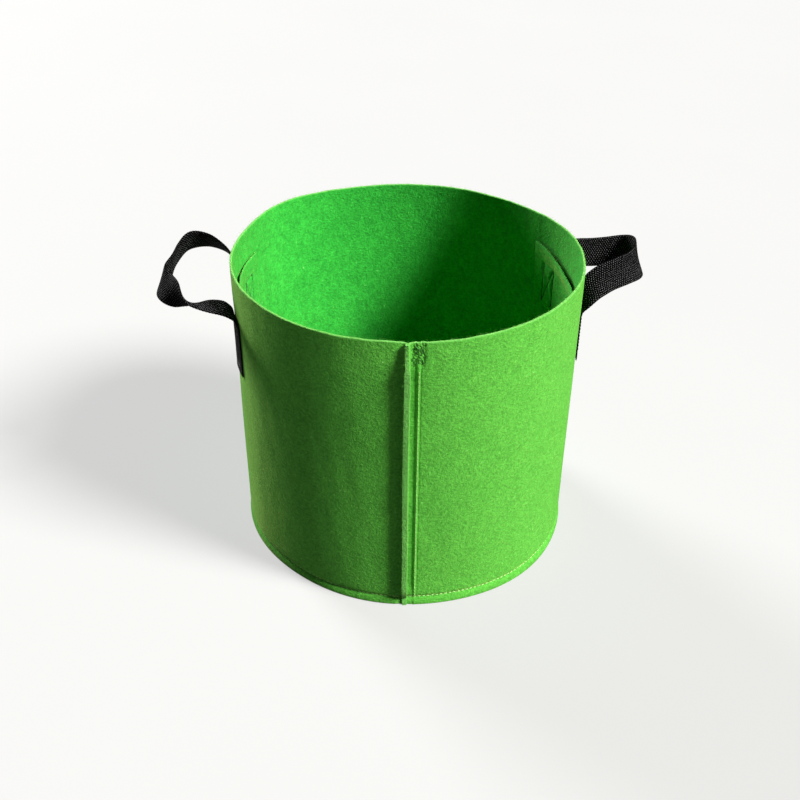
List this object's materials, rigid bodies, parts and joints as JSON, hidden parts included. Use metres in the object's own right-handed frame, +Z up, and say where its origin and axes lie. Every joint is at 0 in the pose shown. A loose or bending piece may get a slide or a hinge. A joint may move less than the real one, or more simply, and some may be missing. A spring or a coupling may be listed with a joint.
{
  "type": "fabric grow bag",
  "caption": "Round open-topped felt planting bag with a sewn side seam, a sewn-in round base and two webbing carrying handles that swing up and down.",
  "frame": {"origin": "centre of the base's underside, on the floor", "axes": "+Z up through the open mouth, -Y towards the side seam, the handles towards -X and +X"},
  "size_m": [0.4225, 0.3075, 0.264],
  "materials": {
    "felt": "needle-punched felt",
    "webbing": "woven flat webbing",
    "seam_thread": "twisted thread",
    "handle_thread": "twisted thread"
  },
  "bodies": {
    "root": {"wall_panel": "felt", "base_panel": "felt", "side_seam_thread": "seam_thread", "rim_bar_tack": "seam_thread", "base_seam_thread": "seam_thread", "left_inner_patch": "felt", "right_inner_patch": "felt", "left_front_strap_end": "webbing", "left_rear_strap_end": "webbing", "left_handle_stitching": "handle_thread", "right_front_strap_end": "webbing", "right_rear_strap_end": "webbing", "right_handle_stitching": "handle_thread"},
    "left_handle": {"left_handle_loop": "webbing"},
    "right_handle": {"right_handle_loop": "webbing"}
  },
  "joints": [
    {"name": "left_handle_swing", "type": "hinge", "parent": "root", "child": "left_handle", "pos_m": [-0.1533, -0.008, 0.235], "axis": [-0.0523, 0.9986, 0], "range_deg": [-70, 60]},
    {"name": "right_handle_swing", "type": "hinge", "parent": "root", "child": "right_handle", "pos_m": [0.1512, 0.0267, 0.235], "axis": [0.1736, -0.9848, 0], "range_deg": [-70, 60]}
  ]
}
